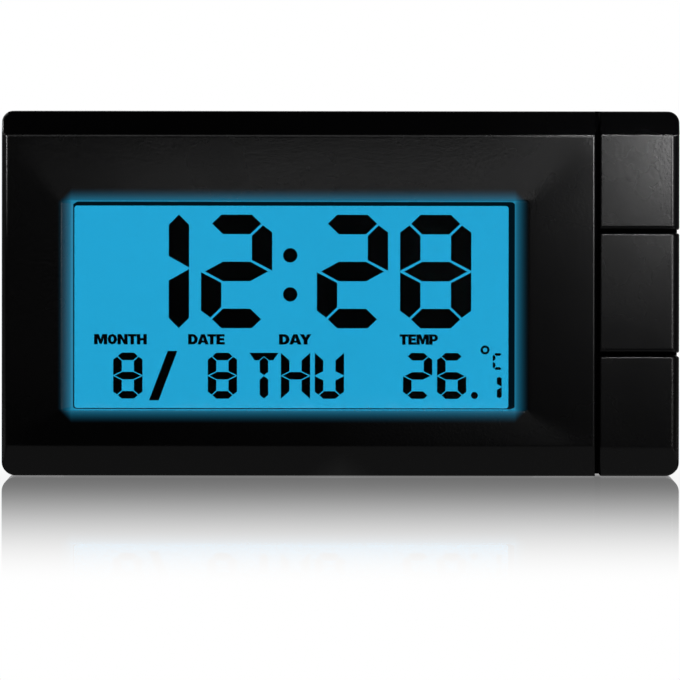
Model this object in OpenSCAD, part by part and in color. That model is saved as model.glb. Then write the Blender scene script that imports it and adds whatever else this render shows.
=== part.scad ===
// Dashboard clock: a backlit liquid crystal clock and thermometer with three buttons at its right end.
// Millimetres. X runs to the right across the face, Y from the face to the back, Z up from the mounting pad.

/* [Face] */
// Width of the window opening
window_w = 51.75; // [48:0.25:60]
// Height of the window opening
window_h = 23.26; // [22.8:0.02:28]
// Face to the left of the window
face_left = 6.6; // [6.3:0.1:9]
// Face to the right of the window, up to the buttons
face_right = 7.35; // [7:0.05:10]
// Case above the window
face_top = 9.9; // [9.4:0.1:12]
// Case below the window
face_bottom = 7.22; // [6.8:0.02:9]
// Height of the sloped brow along the top edge
brow_drop = 2.66; // [1.5:0.02:3.2]
// Depth of the sloped brow
brow_run = 2.2; // [1.2:0.1:3]
// Height of the toe band along the bottom edge
toe_rise = 3.18; // [1.5:0.02:3.5]
// Depth of the toe band
toe_run = 0.9; // [0.4:0.1:1.5]
// Width of the chamfer down each side of the face
cheek_in = 0.5; // [0.2:0.1:0.9]
// Depth of the chamfer down each side of the face
cheek_run = 0.7; // [0.3:0.1:1.2]
// Radius of the two upper corners of the case seen from the front
corner_high = 1.25; // [0.8:0.05:2.5]
// Radius of the two lower corners of the case seen from the front
corner_low = 1.55; // [0.8:0.05:2.5]
// Radius of the edges round the back
rear_r = 2; // [1:0.1:2.4]
// Depth of the dish round the window
dish_depth = 0.5; // [0.2:0.05:0.7]
// Flat rim left outside the dish
dish_rim = 0.4; // [0.2:0.1:1]

/* [Shell] */
// Wall of both shells
wall = 1.6; // [1.4:0.1:1.8]
// Thickness of the register lip of the back shell
lip_t = 0.9; // [0.7:0.1:1]
// Clearance between the register lip and the wall round it
lip_clear = 0.15; // [0.1:0.05:0.2]

/* [Buttons] */
// Width of the button column
button_w = 8.8; // [8.7:0.1:12]
// Gap between the buttons and the face
button_gap = 0.5; // [0.3:0.1:0.8]
// Gap between one button and the next
button_split = 0.4; // [0.3:0.05:0.6]
// Wall of a button
button_wall = 1.4; // [1.2:0.05:1.45]
// How far a button presses in
button_travel = 0.5; // [0.3:0.05:0.6]
// Radius of a button's stem
stem_r = 1.5; // [1.2:0.1:1.7]
// Distance between neighbouring stems
stem_pitch = 12; // [11.6:0.1:12.2]

/* [Display] */
// Thickness of the lens
lens_t = 1; // [0.8:0.1:1.5]
// Thickness of the dust gasket
gasket_t = 0.35; // [0.2:0.05:0.6]
// Thickness of each polariser and of the diffuser
film_t = 0.2; // [0.15:0.05:0.3]
// Thickness of each display glass
glass_t = 0.7; // [0.55:0.05:1.1]
// Thickness of the light guide
guide_t = 2.8; // [2.5:0.1:4]
// Wall of the display frame
frame_wall = 0.8; // [0.7:0.1:1]

/* [Numbers] */
// Width of a time digit
digit_w = 7.9; // [7:0.02:8.2]
// Height of a time digit
digit_h = 12.6; // [11:0.1:13]
// Stroke of a time digit's level bars
digit_stroke = 2.17; // [1.5:0.01:2.3]
// Stroke of a time digit's upright bars
digit_side = 2.26; // [1.5:0.01:2.4]
// Width of a small digit
small_w = 3.25; // [2.8:0.05:3.4]
// Height of a small digit
small_h = 5.1; // [4.5:0.1:5.4]
// Stroke of a small digit's level bars
small_stroke = 0.84; // [0.6:0.02:0.95]
// Stroke of a small digit's upright bars
small_side = 0.95; // [0.6:0.01:1]

/* [Electronics] */
// Thickness of the circuit board
board_t = 1.2; // [0.8:0.1:1.6]
// Side of a push switch
switch_w = 6; // [5.2:0.1:6.2]
// Height of a push switch housing
switch_h = 3.5; // [3.2:0.1:3.8]
// Radius of a switch plunger
plunger_r = 1.7; // [1.4:0.1:1.9]

/* [Battery] */
// Diameter of the coin cell
cell_d = 20; // [16:0.1:20.5]
// Thickness of the coin cell
cell_t = 3.2; // [2:0.1:3.4]
// Sideways place of the cell
cell_x = -14; // [-15:0.5:-12]
// Thickness of the battery door
door_t = 1.6; // [1.5:0.1:2]
// Door margin round the cell
door_margin = 2; // [1.5:0.1:3]

/* [Fasteners] */
// Radius of the case screw bosses
boss_r = 2.1; // [1.8:0.1:2.2]
// Radius of a case screw's thread
screw_r = 0.95; // [0.8:0.05:1.1]
// Radius of a case screw's head
screw_head_r = 1.9; // [1.6:0.1:2]
// Radius of a board screw's thread
board_screw_r = 0.8; // [0.6:0.05:0.9]

/* [Mounting pad] */
// Length of the foam pad
pad_l = 52; // [40:1:58]
// Width of the foam pad
pad_w = 10; // [8:0.5:11]
// Thickness of the foam pad
pad_t = 1; // [0.8:0.1:1.2]
// How far the pad stands below the case
pad_proud = 0.1; // [0.1:0.05:0.4]

/* [Hidden] */
$fn = 64;

// Small play used where two pieces pass or seat
slip = 0.15;
film_gap = 0.05;
run_clear = 0.05;
cut = 0.1;
far = 200;

// Across the face
body_w = face_left + window_w + face_right + button_gap + button_w;
x_left = -body_w / 2;
x_right = body_w / 2;
window_x = [x_left + face_left, x_left + face_left + window_w];
bezel_x1 = window_x[1] + face_right;
button_x0 = bezel_x1 + button_gap;

// Up the face
body_h = face_bottom + window_h + face_top;
base_z = pad_proud;
top_z = base_z + body_h;
mid_z = base_z + body_h / 2;
window_z = [base_z + face_bottom, base_z + face_bottom + window_h];

// Through the depth: each layer starts where the one before it ends
segment_t = 0.06;
reflector_t = 0.14;
lens_y = wall;
gasket_y = lens_y + lens_t;
polariser_y = gasket_y + gasket_t + film_gap;
glass_y = polariser_y + film_t + film_gap;
segment_y = glass_y + glass_t + film_gap;
rear_glass_y = segment_y + segment_t + film_gap;
rear_polariser_y = rear_glass_y + glass_t + film_gap;
diffuser_y = rear_polariser_y + film_t + film_gap;
guide_y = diffuser_y + film_t + film_gap;
reflector_y = guide_y + guide_t + film_gap;
board_y = reflector_y + reflector_t + film_gap;
board_back = board_y + board_t;
split_y = board_y + board_t / 2;
tub_gap = 1.6;
tub_floor = 1;
contact_h = 0.8;
tub_y = board_back + tub_gap;
cell_y = tub_y + tub_floor + contact_h;
door_y = cell_y + cell_t + slip;
body_d = door_y + door_t;

// Window: the reveal runs from the opening in to the mask round the lit area
reveal_left = 1.3;
reveal_right = 1.54;
reveal_end = 0.15;
mask_left = 0.11;
mask_right = 0.69;
mask_low = 0.08;
mask_high = 0.45;
lit_r = 0.3;
sight_x = [window_x[0] + reveal_left, window_x[1] - reveal_right];
sight_z = [window_z[0] + reveal_end, window_z[1] - reveal_end];
lit_x = [sight_x[0] + mask_left, sight_x[1] - mask_right];
lit_z = [sight_z[0] + mask_low, sight_z[1] - mask_high];

// Display cell: the front glass has a contact ledge above the rear glass
glass_margin = 0.8;
ledge = 2.1;
glass_x = [sight_x[0] - glass_margin, sight_x[1] + glass_margin];
glass_z = [sight_z[0] - glass_margin, sight_z[1] + glass_margin + ledge];
rear_glass_z1 = glass_z[1] - ledge;
frame_in_x = [glass_x[0] - slip, glass_x[1] + slip];
frame_in_z = [glass_z[0] - slip, glass_z[1] + slip];
frame_x = [frame_in_x[0] - frame_wall, frame_in_x[1] + frame_wall];
frame_z = [frame_in_z[0] - frame_wall, frame_in_z[1] + frame_wall];
rib_t = 0.6;
rib_z1 = rear_glass_z1;
guide_z = [glass_z[0], rib_z1 - rib_t - slip];
led_t = 1.1;
led_h = 2.4;
led_l = 3;
guide_x = [frame_in_x[0] + led_t + 2 * slip, frame_in_x[1] - led_t - 2 * slip];

// Button deck: the plate and walls inside the button caps, which carry the stems
deck_inset = max(wall, button_wall) + lip_clear;
deck_wall = 1;
deck_plate_y = deck_inset + button_travel;
deck_plate_back = deck_plate_y + deck_wall;
button_back = split_y - button_travel - 2 * slip;
button_edges = [base_z, base_z + 0.3338 * body_h, top_z - 0.3292 * body_h, top_z];
switch_x = (bezel_x1 + x_right - deck_inset - deck_wall) / 2;
switch_y = board_y - switch_h;
switch_cover_t = 0.25;
plunger_out = 0.9;
plunger_y = switch_y - plunger_out;
plunger_in = 1.2;
leg_room = 1.2;
leg_off = switch_w / 2 + leg_room;
leg_t = 0.8;
leg_w = 2.2;
rib_y = 1.6;
rib_inset = 0.35;
hook_out = 0.4;
hook_h = 0.7;
hook_y = deck_plate_back + slip;
hook_end = hook_y + hook_h;

// Bosses and screws
left_boss_x = x_left + wall + slip + boss_r;
right_boss_x = (frame_x[1] + bezel_x1 - wall) / 2;
boss_x = [left_boss_x, right_boss_x];
boss_lift = 1.3;
boss_rise = wall + boss_r + boss_lift;
boss_z = [base_z + boss_rise, top_z - boss_rise];
boss_over = 0.9;
boss_end = split_y + boss_over;
post_r = 1.6;
board_head_r = 2 * board_screw_r;
left_post_x = x_left + deck_inset + lip_t + slip + max(post_r, board_head_r);
post_x = [left_post_x, right_boss_x];
post_off = 7;
post_z = [mid_z - post_off, mid_z + post_off];
blind = 1;
board_screw_l = 5;
board_head_h = 0.9;
screw_head_h = 1.3;
tube_wall = 0.8;
tube_r = screw_head_r + tube_wall;
head_seat = 2;
head_y = boss_end + head_seat;
screw_l = 7;
board_inset = deck_inset + lip_t + 2 * slip;

// Battery door
door_w = cell_d + 2 * door_margin;
door_x = [cell_x - door_w / 2, cell_x + door_w / 2];
cell_z = mid_z;
door_z0 = cell_z - cell_d / 2 - door_margin;
tongue_w = 0.8;
tongue_t = 0.6;
panel_t = 1.2;
panel_edge = 2.2;
tub_clear = 0.2;
tub_r = cell_d / 2 + tub_clear;
tub_wall = 1.2;

// Battery contacts: the leaf's leg, bend, crest and tip along Z, and the side spring's leg in X
contact_t = 0.3;
contact_w = 3;
leg_hole = contact_t + 2 * slip;
leaf_leg = 6;
leaf_bend = 1;
leaf_crest = 3;
leaf_tip = 5;
tip_drop = 0.2;
leaf_leg_z = cell_z - leaf_leg;
rim_gap = 0.6;
plus_x = cell_x + cell_d / 2 + rim_gap;

// Chip, crystal and small parts: on the board between the cell well and the right screws
chip_x = (cell_x + tub_r + tub_wall + right_boss_x - tube_r) / 2;
blob_r = 4.5;
blob_h = 1.1;
can_r = 1;
can_l = 6;
can_gap = 3;
lead_t = 0.3;
lead_l = 1.5;
lead_off = 0.5;
part_l = 2;
part_h = 0.6;
part_w = 1.25;
part_pitch = 3.2;
part_gap = 2.5;

// Door grip
grip_n = 6;
grip_pitch = 1.8;
grip_w = 0.8;
grip_deep = 0.4;

// Vent slots over the temperature sensor
vent_n = 4;
vent_pitch = 2.2;
vent_w = 1.2;
vent_l = 10;

// Mounting pad
pad_x = (x_left + bezel_x1) / 2;
pad_y = body_d / 2 + 0.5;
pad_r = 1.5;
pad_pocket = pad_t - pad_proud;

// Places on the lit area, from its lower left corner
time_v = 8.84;
hour_one_u = 10.44;
hour_u = 14.02;
colon_u = 23.92;
colon_low_v = 12.6;
colon_high_v = 16.93;
colon_r = 0.8;
minute_tens_u = 26.87;
minute_units_u = 36.1;
date_v = 1.02;
month_u = 4.29;
slash_u = 8.26;
slash_lean = 2.07;
slash_w = 1.08;
slash_over = 0.2;
slash_h = small_h + 2 * slash_over;
day_u = 14.78;
weekday_first_u = 19.39;
weekday_second_u = 22.89;
weekday_third_u = 26.65;
degree_tens_u = 36.44;
degree_units_u = 40.21;
point_u = 44.37;
point_r = 0.39;
tenth_u = 46.85;
tenth_v = 1.11;
tenth_w = 0.54;
tenth_h = 2.37;
unit_u = 46.39;
unit_v = 4.25;
unit_w = 1.16;
unit_h = 1.86;
ring_u = 45.54;
ring_v = 6.46;
ring_r = 0.5;
ring_hole_r = 0.24;
digit_gap = 0.09;
small_gap = 0.04;
tiny_gap = 0.03;
unit_stroke = 0.3;

// Puts the face plane at the front of a frame centred on the body's depth
module seat() {
    translate([0, -body_d / 2, 0]) children();
}

// A box between two limits on each axis
module block(x, y, z) {
    translate([x[0], y[0], z[0]]) cube([x[1] - x[0], y[1] - y[0], z[1] - z[0]]);
}

// A round bar along Y
module rod(x, z, y, r) {
    translate([x, y[0], z]) rotate([-90, 0, 0]) cylinder(h = y[1] - y[0], r = r);
}

// A flat shape drawn in X and Z, thickened along Y
module plate(y) {
    translate([0, y[1], 0]) rotate([90, 0, 0]) linear_extrude(y[1] - y[0]) children();
}

// A flat shape drawn in Y and Z, thickened along X
module slice(x) {
    translate([x[0], 0, 0]) rotate([90, 0, 90]) linear_extrude(x[1] - x[0]) children();
}

// A rectangle with round corners between two limits on each axis
module round_rect(x, z, r) {
    translate([x[0] + r, z[0]]) square([x[1] - x[0] - 2 * r, z[1] - z[0]]);
    translate([x[0], z[0] + r]) square([x[1] - x[0], z[1] - z[0] - 2 * r]);
    for (u = [x[0] + r, x[1] - r], v = [z[0] + r, z[1] - r]) translate([u, v]) circle(r);
}

// Front of the body in X and Z, drawn in by t
module front_outline(t) {
    low = max(corner_low - t, 0.3);
    high = max(corner_high - t, 0.3);
    translate([x_left + t, base_z + t + low]) square([body_w - 2 * t, body_h - 2 * t - low - high]);
    translate([x_left + t + low, base_z + t]) square([body_w - 2 * t - 2 * low, body_h / 2]);
    translate([x_left + t + high, mid_z - t]) square([body_w - 2 * t - 2 * high, body_h / 2]);
    for (u = [x_left + t + low, x_right - t - low]) translate([u, base_z + t + low]) circle(low);
    for (u = [x_left + t + high, x_right - t - high]) translate([u, top_z - t - high]) circle(high);
}

// Side section of the body in Y and Z, drawn in by t
module side_outline(t) {
    r = max(rear_r - t, 0.3);
    difference() {
        union() {
            translate([t, base_z + t]) square([body_d - 2 * t - r, body_h - 2 * t]);
            translate([t, base_z + t + r]) square([body_d - 2 * t, body_h - 2 * t - 2 * r]);
            for (v = [base_z + t + r, top_z - t - r]) translate([body_d - t - r, v]) circle(r);
        }
        translate([0, top_z - brow_drop]) rotate(atan2(brow_drop, brow_run))
            translate([-far / 2, -t]) square([far, far]);
        translate([0, base_z + toe_rise]) rotate(-atan2(toe_rise, toe_run))
            translate([-far / 2, t - far]) square([far, far]);
    }
}

// Plan of the body in X and Y, drawn in by t, with or without the slanted cheeks
module plan_outline(t, cheeks) {
    r = max(rear_r - t, 0.3);
    difference() {
        union() {
            translate([x_left + t, t]) square([body_w - 2 * t, body_d - 2 * t - r]);
            translate([x_left + t + r, t]) square([body_w - 2 * t - 2 * r, body_d - 2 * t]);
            for (u = [x_left + t + r, x_right - t - r]) translate([u, body_d - t - r]) circle(r);
        }
        if (cheeks) for (side = [0, 1]) mirror([side, 0])
            translate([x_left + cheek_in, 0]) rotate(180 - atan2(cheek_run, cheek_in))
                translate([-far / 2, -t]) square([far, far]);
    }
}

// The whole body as one solid, drawn in by t on every side; the brow runs full width over the cheeks
module body_form(t) {
    intersection() {
        slice([x_left - cut, x_right + cut]) side_outline(t);
        plate([-cut, body_d + cut])
            front_outline(t);
        union() {
            translate([0, 0, -cut]) linear_extrude(top_z + 2 * cut) plan_outline(t, true);
            if (t == 0) translate([0, 0, top_z - brow_drop]) linear_extrude(brow_drop + cut)
                plan_outline(t, false);
        }
    }
}

// A four-sided funnel that narrows from one opening at y[0] to another at y[1]
module funnel(x_front, z_front, x_back, z_back, y) {
    intersection() {
        translate([0, 0, -far / 2]) linear_extrude(far)
            polygon([[x_front[0], y[0]], [x_front[1], y[0]], [x_back[1], y[1]], [x_back[0], y[1]]]);
        slice([-far / 2, far / 2])
            polygon([[y[0], z_front[0]], [y[0], z_front[1]], [y[1], z_back[1]], [y[1], z_back[0]]]);
    }
}

// Dish and reveal, both carried a little past their ends so that they cut clean
module window_cut() {
    face_x = [x_left + cheek_in + dish_rim, bezel_x1 - dish_rim];
    face_z = [base_z + toe_rise + dish_rim, top_z - brow_drop - dish_rim];
    funnel(face_x, face_z, window_x, window_z, [0, dish_depth]);
    block(face_x, [-1, 0], face_z);
    funnel(window_x, window_z, sight_x, sight_z, [dish_depth, wall]);
    block(sight_x, [wall, wall + cut], sight_z);
}

module pad_pocket_cut() {
    translate([0, 0, base_z - cut]) linear_extrude(pad_pocket + cut)
        round_rect([pad_x - pad_l / 2 - slip, pad_x + pad_l / 2 + slip],
                   [pad_y - pad_w / 2 - slip, pad_y + pad_w / 2 + slip], pad_r);
}

function stem_z(i) = mid_z + (1 - i) * stem_pitch;

// The front shell is a tray with its own right wall, which stops short of the board
module front_shell() {
    difference() {
        intersection() {
            body_form(0);
            block([x_left, bezel_x1], [0, split_y], [0, top_z]);
        }
        intersection() {
            body_form(wall);
            block([x_left, bezel_x1 - wall], [0, split_y + 1], [0, top_z]);
        }
        block([bezel_x1 - wall - cut, bezel_x1 + cut], [board_y - 2 * slip, split_y + cut],
              [base_z + wall, top_z - wall]);
    }
}

// Box inside the button caps: a plate with guide bores, and walls that close the button gaps
module button_deck() {
    difference() {
        intersection() {
            translate([0, button_travel, 0]) body_form(deck_inset);
            block([bezel_x1 - wall, x_right], [0, board_y], [0, top_z]);
        }
        intersection() {
            translate([0, button_travel, 0]) body_form(deck_inset + deck_wall);
            block([bezel_x1, x_right], [0, split_y], [0, top_z]);
        }
        block([bezel_x1 - wall - cut, bezel_x1 + cut], [deck_plate_back, split_y], [0, top_z]);
        for (i = [0:2]) {
            rod(switch_x, stem_z(i), [0, split_y], stem_r + run_clear);
            for (s = [-1, 1]) translate([switch_x, 0, stem_z(i) + s * leg_off]) {
                block([-leg_w / 2 - slip, leg_w / 2 + slip], [0, deck_plate_back + cut],
                      [-leg_t / 2 - slip, leg_t / 2 + slip]);
                block([-leg_w / 2 - slip, leg_w / 2 + slip],
                      [deck_plate_back, hook_end + button_travel + slip],
                      [-leg_t / 2 - hook_out - slip, leg_t / 2 + hook_out + slip]);
            }
        }
    }
}

// Rib on the front shell's right wall that shuts the gap beside the buttons to light
module gap_rib() {
    intersection() {
        body_form(rib_inset);
        block([bezel_x1 - cut, button_x0 - slip], [rib_y, deck_plate_back], [0, top_z]);
    }
}

// Room for each push switch beside the walls round it
module switch_relief() {
    half = switch_w / 2 + slip;
    for (i = [0:2]) translate([switch_x, 0, stem_z(i)])
        block([-half, half], [switch_y - switch_cover_t - slip, split_y], [-half, half]);
}

module front_bezel() {
    color("#17171a") seat() difference() {
        union() {
            front_shell();
            button_deck();
            gap_rib();
            intersection() {
                body_form(wall / 2);
                union() {
                    for (x = boss_x, z = boss_z) rod(x, z, [0, boss_end], boss_r);
                    for (x = post_x, z = post_z) rod(x, z, [0, board_y], post_r);
                }
            }
        }
        window_cut();
        switch_relief();
        for (x = boss_x, z = boss_z) rod(x, z, [wall + blind, boss_end + cut], screw_r + run_clear);
        for (x = post_x, z = post_z) rod(x, z, [wall + blind, board_y + cut], board_screw_r + run_clear);
        pad_pocket_cut();
    }
}

// Cap, wrap-round skirts, stem and two snap legs; i counts the buttons from the top
module button(i) {
    z = [button_edges[2 - i] + (i == 2 ? 0 : button_split / 2),
         button_edges[3 - i] - (i == 0 ? 0 : button_split / 2)];
    color("#1b1b1e") seat() {
        difference() {
            intersection() {
                body_form(0);
                block([button_x0, x_right], [0, button_back], z);
            }
            intersection() {
                body_form(button_wall);
                block([0, x_right], [0, body_d], [0, top_z + 1]);
            }
        }
        rod(switch_x, stem_z(i), [button_wall - cut, plunger_y], stem_r);
        for (s = [-1, 1]) button_leg(stem_z(i) + s * leg_off, s);
    }
}

module button_leg(z, s) {
    slice([switch_x - leg_w / 2, switch_x + leg_w / 2])
        polygon([[button_wall - cut, z - s * leg_t / 2], [hook_end, z - s * leg_t / 2],
                 [hook_end, z + s * leg_t / 2], [hook_y + hook_h / 3, z + s * (leg_t / 2 + hook_out)],
                 [hook_y, z + s * (leg_t / 2 + hook_out)], [hook_y, z + s * leg_t / 2],
                 [button_wall - cut, z + s * leg_t / 2]]);
}

module plunger(i) {
    color("#2b2b2e") seat()
        rod(switch_x, stem_z(i), [plunger_y, switch_y + plunger_in], plunger_r);
}

module switch_housing(i) {
    color("#202024") seat() difference() {
        block([switch_x - switch_w / 2, switch_x + switch_w / 2], [switch_y, board_y],
              [stem_z(i) - switch_w / 2, stem_z(i) + switch_w / 2]);
        rod(switch_x, stem_z(i), [switch_y - cut, switch_y + plunger_in + button_travel + slip],
            plunger_r + run_clear);
    }
}

// Sheet metal cover and four board terminals of each switch
module switch_frames() {
    pin_t = 0.25;
    pin_w = 0.7;
    pin_l = 1.1;
    color("silver") seat() for (i = [0:2]) {
        difference() {
            block([switch_x - switch_w / 2, switch_x + switch_w / 2], [switch_y - switch_cover_t, switch_y],
                  [stem_z(i) - switch_w / 2, stem_z(i) + switch_w / 2]);
            rod(switch_x, stem_z(i), [0, split_y], plunger_r + run_clear);
        }
        for (u = [-1, 1], v = [-1, 1])
            translate([switch_x + u * switch_w / 3, 0, stem_z(i) + v * (switch_w / 2 + pin_l / 2)])
                block([-pin_w / 2, pin_w / 2], [board_y - pin_t, board_y], [-pin_l / 2, pin_l / 2]);
    }
}

module display_lens() {
    color("lightcyan", 0.4) seat() block(glass_x, [lens_y, gasket_y], glass_z);
}

module dust_gasket() {
    color("#08080a") seat() difference() {
        block(glass_x, [gasket_y, gasket_y + gasket_t], glass_z);
        plate([0, split_y]) round_rect(lit_x, lit_z, lit_r);
    }
}

module front_polariser() {
    color("lightblue", 0.4) seat()
        block(glass_x, [polariser_y, polariser_y + film_t], [glass_z[0], rear_glass_z1]);
}

module front_glass() {
    color("lightcyan", 0.4) seat() block(glass_x, [glass_y, glass_y + glass_t], glass_z);
}

module rear_glass() {
    color("lightcyan", 0.4) seat()
        block(glass_x, [rear_glass_y, rear_glass_y + glass_t], [glass_z[0], rear_glass_z1]);
}

module rear_polariser() {
    color("#25a3d6") seat()
        block(glass_x, [rear_polariser_y, rear_polariser_y + film_t], [glass_z[0], rear_glass_z1]);
}

module diffuser_sheet() {
    color("white") seat() block(guide_x, [diffuser_y, diffuser_y + film_t], guide_z);
}

module light_guide() {
    color("aliceblue", 0.6) seat() block(guide_x, [guide_y, guide_y + guide_t], guide_z);
}

module reflector_sheet() {
    color("white") seat() block(guide_x, [reflector_y, reflector_y + reflector_t], guide_z);
}

module backlight_leds() {
    lens_in = 0.2;
    mid = (guide_z[0] + guide_z[1]) / 2;
    color("#9fd8ff") seat() for (x = [frame_in_x[0] + slip, frame_in_x[1] - slip - led_t])
        difference() {
            block([x, x + led_t], [board_y - led_h, board_y], [mid - led_l / 2, mid + led_l / 2]);
            block([x < 0 ? x + led_t - lens_in : x - cut, x < 0 ? x + led_t + cut : x + lens_in],
                  [board_y - led_h + 0.4, board_y - 0.4], [mid - led_l / 2 + 0.4, mid + led_l / 2 - 0.4]);
        }
}

// Open frame between the front shell and the board, with a rib between light guide and zebra strip
module display_frame() {
    color("white") seat() {
        difference() {
            block(frame_x, [wall, board_y], frame_z);
            block(frame_in_x, [0, split_y], frame_in_z);
        }
        block([frame_in_x[0] - cut, frame_in_x[1] + cut], [guide_y, board_y], [rib_z1 - rib_t, rib_z1]);
    }
}

module zebra_strip() {
    end_gap = 2;
    color("#3a3a3a") seat()
        block([frame_in_x[0] + end_gap, frame_in_x[1] - end_gap], [glass_y + glass_t, board_y],
              [rib_z1 + slip, glass_z[1] - slip]);
}

module circuit_board() {
    color("#1d6b3a") seat() difference() {
        block([x_left + board_inset, x_right - board_inset], [board_y, board_back],
              [base_z + board_inset, top_z - board_inset]);
        for (x = boss_x, z = boss_z) rod(x, z, [0, body_d], boss_r + 2 * slip);
        for (x = post_x, z = post_z) rod(x, z, [0, body_d], board_screw_r + slip);
    }
}

// Drop of black epoxy over the clock chip
module chip_blob() {
    ball_r = (blob_r * blob_r + blob_h * blob_h) / (2 * blob_h);
    color("#101010") seat() intersection() {
        translate([chip_x, board_back + blob_h - ball_r, mid_z]) sphere(ball_r, $fn = 240);
        block([chip_x - blob_r - 1, chip_x + blob_r + 1], [board_back, board_back + blob_h + 1],
              [mid_z - blob_r - 1, mid_z + blob_r + 1]);
    }
}

// Watch crystal: a can lying on the board with two bent leads
module quartz_crystal() {
    axis_y = board_back + can_r + run_clear;
    half = lead_t / 2;
    color("silver") seat() translate([chip_x - can_l / 2, 0, mid_z + blob_r + can_gap]) {
        translate([0, axis_y, 0]) rotate([0, 90, 0]) cylinder(h = can_l, r = can_r);
        for (s = [-1, 1]) translate([-lead_l, 0, s * lead_off]) {
            block([0, lead_l + cut], [axis_y - half, axis_y + half], [-half, half]);
            block([0, lead_t], [board_back, axis_y + half], [-half, half]);
        }
    }
}

// Resistors and capacitors on the back of the board
module chip_parts() {
    color("#b59a6a") seat() for (i = [-1:1], j = [0:1])
        translate([chip_x + i * part_pitch - part_l / 2, board_back, mid_z - blob_r - part_gap * (j + 1)])
            cube([part_l, part_h, part_w]);
}

// Epoxy bead on two leads behind the vent slots
module temperature_sensor() {
    bead_r = 1.2;
    lead_r = 0.22;
    bead_y = board_back + 4;
    color("#2a2018") seat() {
        translate([switch_x, bead_y, mid_z]) sphere(bead_r);
        for (s = [-1, 1]) rod(switch_x + s * 0.6, mid_z, [board_back, bead_y], lead_r);
    }
}

// Steel can with a smaller negative cap towards the board
module coin_cell() {
    cap_step = 0.4;
    color("gainsboro") seat() {
        rod(cell_x, cell_z, [cell_y + cap_step, cell_y + cell_t], cell_d / 2);
        rod(cell_x, cell_z, [cell_y, cell_y + cap_step + cut], cell_d / 2 - 1.3);
    }
}

// Outline of a strip of thickness t that follows a line of points
function side_step(p, i, t) =
    let (a = p[max(i - 1, 0)], b = p[min(i + 1, len(p) - 1)], m = p[i],
         d1 = (i == 0 ? b - m : m - a) / norm(i == 0 ? b - m : m - a),
         d2 = (i == len(p) - 1 ? m - a : b - m) / norm(i == len(p) - 1 ? m - a : b - m),
         n = [-(d1[1] + d2[1]), d1[0] + d2[0]])
    n * t / (1 + d1 * d2) / 2;
function strip(p, t) = concat([for (i = [0:len(p) - 1]) p[i] + side_step(p, i, t)],
                              [for (i = [len(p) - 1:-1:0]) p[i] - side_step(p, i, t)]);

// Leaf on the floor of the cell well, with its leg down to the board
module negative_contact() {
    floor_y = tub_y + tub_floor + contact_t / 2;
    tip_y = cell_y - contact_t / 2 - film_gap;
    color("goldenrod") seat() slice([cell_x - contact_w / 2, cell_x + contact_w / 2])
        polygon(strip([[board_back, leaf_leg_z], [floor_y, leaf_leg_z], [floor_y, cell_z - leaf_bend],
                       [tip_y, cell_z + leaf_crest], [tip_y - tip_drop, cell_z + leaf_tip]], contact_t));
}

// Side spring that bears on the cell's rim, with its leg down to the board
module positive_contact() {
    rim_x = cell_x + cell_d / 2 + contact_t / 2 + film_gap;
    color("goldenrod") seat() translate([0, 0, cell_z - contact_w / 2]) linear_extrude(contact_w)
        polygon(strip([[plus_x, board_back], [plus_x, cell_y - tip_drop],
                       [rim_x, cell_y + cell_t / 2 + tip_drop], [plus_x, door_y - 3 * slip]], contact_t));
}

module screw(x, z, y_head, r, head_r, head_h, l) {
    recess = 0.5;
    difference() {
        union() {
            rod(x, z, [y_head, y_head + head_h], head_r);
            rod(x, z, [y_head - l, y_head + cut], r);
        }
        for (a = [0, 90]) translate([x, y_head + head_h, z]) rotate([0, a, 0])
            cube([1.5 * head_r, 2 * recess, 0.4], center = true);
    }
}

module board_screws() {
    color("silver") seat() for (x = post_x, z = post_z)
        screw(x, z, board_back, board_screw_r, board_head_r, board_head_h, board_screw_l);
}

module case_screws() {
    color("dimgray") seat() for (x = boss_x, z = boss_z)
        screw(x, z, head_y, screw_r, screw_head_r, screw_head_h, screw_l);
}

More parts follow.
